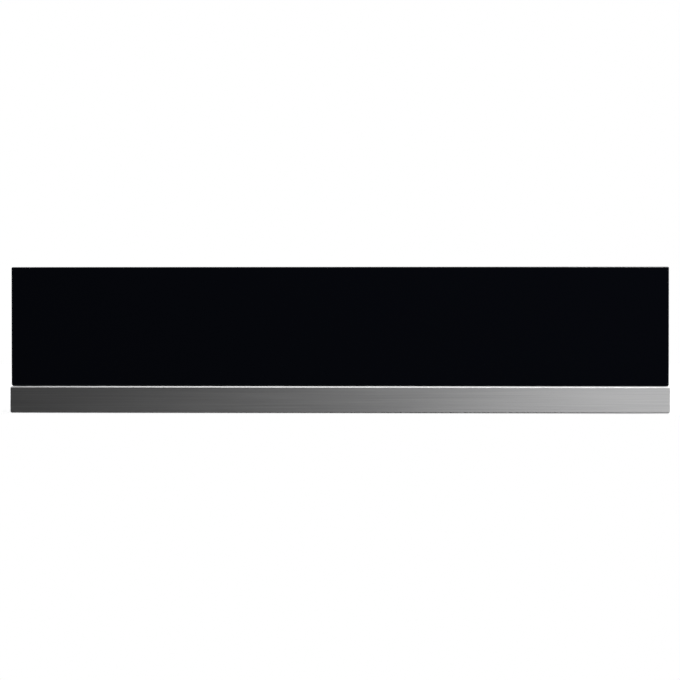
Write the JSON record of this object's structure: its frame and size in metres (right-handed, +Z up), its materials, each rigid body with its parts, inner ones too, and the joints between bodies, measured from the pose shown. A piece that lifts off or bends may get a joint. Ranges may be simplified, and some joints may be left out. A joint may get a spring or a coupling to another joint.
{
  "type": "built-in warming drawer",
  "caption": "Built-in warming drawer with a black glass front over a brushed steel strip, ball bearing slides, push-to-open latch, rear fan heater and hidden controls.",
  "frame": {"origin": "on the niche floor, under the middle of the whole part, with the drawer closed", "axes": "+X to the right seen from the front, +Y to the back (the front faces -Y), +Z up"},
  "size_m": [0.595, 0.555, 0.1335],
  "materials": {
    "black_glass": "black painted float glass, polished",
    "front_steel": "fine horizontal brushing",
    "carrier_steel": "dark grey coat",
    "tape": "foam tape",
    "glass_fibre": "glass wool",
    "plated_steel": "bright zinc plate",
    "inner_steel": "fine brushed stainless",
    "mat_rubber": "ribbed anti-slip rubber",
    "slide_steel": "zinc plated, rolled",
    "ball_steel": "polished balls in a plated cage",
    "housing_sheet": "galvanised sheet",
    "liner_sheet": "aluminised sheet",
    "frame_steel": "satin steel",
    "rubber": "black rubber",
    "heater_sheath": "heat tinted sheath",
    "brass": "plain brass",
    "fan_metal": "stamped aluminium",
    "core_steel": "stacked laminations",
    "copper_coil": "enamelled copper winding",
    "rotor_steel": "turned steel",
    "phenolic": "moulded phenolic",
    "latch_plastic": "moulded acetal",
    "plunger_plastic": "moulded acetal with a rubber tip",
    "terminal_plastic": "moulded polyamide",
    "panel_plastic": "fine grained black moulding",
    "thermostat_case": "moulded case",
    "knob_plastic": "satin black moulding",
    "switch_plastic": "gloss black moulding",
    "lamp_lens": "amber lens",
    "loom_sleeve": "black sleeve"
  },
  "bodies": {
    "housing": {"glass_wool": "glass_fibre", "slide_screws_housing": "plated_steel", "housing_screws": "plated_steel", "outer_slide_left": "slide_steel", "outer_slide_right": "slide_steel", "base_pan": "housing_sheet", "side_wall_left": "housing_sheet", "side_wall_right": "housing_sheet", "rear_wall": "housing_sheet", "top_cover": "housing_sheet", "inner_wall_left": "liner_sheet", "inner_wall_right": "liner_sheet", "inner_ceiling": "liner_sheet", "air_baffle": "liner_sheet", "air_box": "liner_sheet", "front_frame": "frame_steel", "feet": "rubber", "stop_buffers": "rubber", "cable_gland": "rubber", "heating_element": "heater_sheath", "heater_flange": "brass", "motor_bracket_front": "brass", "motor_bracket_rear": "brass", "motor_core": "core_steel", "motor_coil": "copper_coil", "safety_cutout": "phenolic", "latch_body": "latch_plastic", "terminal_block": "terminal_plastic", "control_panel": "panel_plastic", "blank_panel": "panel_plastic", "thermostat": "thermostat_case", "switch_body": "switch_plastic", "pilot_lamp": "lamp_lens", "wiring_loom": "loom_sleeve"},
    "drawer": {"glass_panel": "black_glass", "steel_strip": "front_steel", "front_carrier": "carrier_steel", "tape_pads": "tape", "front_insulation": "glass_fibre", "front_spacers": "plated_steel", "inner_front_skin": "inner_steel", "front_screws": "plated_steel", "drawer_pan": "inner_steel", "anti_slip_mat": "mat_rubber", "striker_plate": "inner_steel", "inner_slide_left": "slide_steel", "inner_slide_right": "slide_steel", "slide_screws_drawer": "plated_steel"},
    "middle_slide_left": {"middle_slide_left": "slide_steel"},
    "middle_slide_right": {"middle_slide_right": "slide_steel"},
    "outer_cage_left": {"outer_cage_left": "ball_steel"},
    "outer_cage_right": {"outer_cage_right": "ball_steel"},
    "inner_cage_left": {"inner_cage_left": "ball_steel"},
    "inner_cage_right": {"inner_cage_right": "ball_steel"},
    "fan": {"fan_wheel": "fan_metal", "motor_rotor": "rotor_steel"},
    "knob": {"temperature_knob": "knob_plastic"},
    "rocker": {"switch_rocker": "switch_plastic"},
    "plunger": {"latch_plunger": "plunger_plastic"}
  },
  "joints": [
    {"name": "drawer_slide", "type": "slide", "parent": "housing", "child": "drawer", "axis": [0, -1, 0], "range_m": [-0.0035, 0.42]},
    {"name": "middle_slide_left_run", "type": "slide", "parent": "housing", "child": "middle_slide_left", "axis": [0, -1, 0], "range_m": [-0.0018, 0.2101]},
    {"name": "middle_slide_right_run", "type": "slide", "parent": "housing", "child": "middle_slide_right", "axis": [0, -1, 0], "range_m": [-0.0018, 0.2101]},
    {"name": "outer_cage_left_run", "type": "slide", "parent": "housing", "child": "outer_cage_left", "axis": [0, -1, 0], "range_m": [-0.0009, 0.1051]},
    {"name": "outer_cage_right_run", "type": "slide", "parent": "housing", "child": "outer_cage_right", "axis": [0, -1, 0], "range_m": [-0.0009, 0.1051]},
    {"name": "inner_cage_left_run", "type": "slide", "parent": "housing", "child": "inner_cage_left", "axis": [0, -1, 0], "range_m": [-0.0027, 0.3151]},
    {"name": "inner_cage_right_run", "type": "slide", "parent": "housing", "child": "inner_cage_right", "axis": [0, -1, 0], "range_m": [-0.0027, 0.3151]},
    {"name": "plunger_push", "type": "slide", "parent": "housing", "child": "plunger", "axis": [0, -1, 0], "range_m": [-0.0002, 0.0141]},
    {"name": "fan_spin", "type": "hinge", "parent": "housing", "child": "fan", "pos_m": [0, 0.235, 0.0565], "axis": [0, 1, 0], "continuous": true},
    {"name": "knob_turn", "type": "hinge", "parent": "housing", "child": "knob", "pos_m": [0.25985, -0.2355, 0.04], "axis": [0, 1, 0], "range_deg": [0, 270]},
    {"name": "rocker_tilt", "type": "hinge", "parent": "housing", "child": "rocker", "pos_m": [0.25985, -0.234, 0.092], "axis": [1, 0, 0], "range_deg": [0, 14]}
  ],
  "couplings": [
    {"joint": "middle_slide_left_run", "follows": "drawer_slide", "ratio": 0.5},
    {"joint": "middle_slide_right_run", "follows": "drawer_slide", "ratio": 0.5},
    {"joint": "outer_cage_left_run", "follows": "drawer_slide", "ratio": 0.25},
    {"joint": "outer_cage_right_run", "follows": "drawer_slide", "ratio": 0.25},
    {"joint": "inner_cage_left_run", "follows": "drawer_slide", "ratio": 0.75},
    {"joint": "inner_cage_right_run", "follows": "drawer_slide", "ratio": 0.75},
    {"joint": "plunger_push", "follows": "drawer_slide", "ratio": 0.033333}
  ]
}
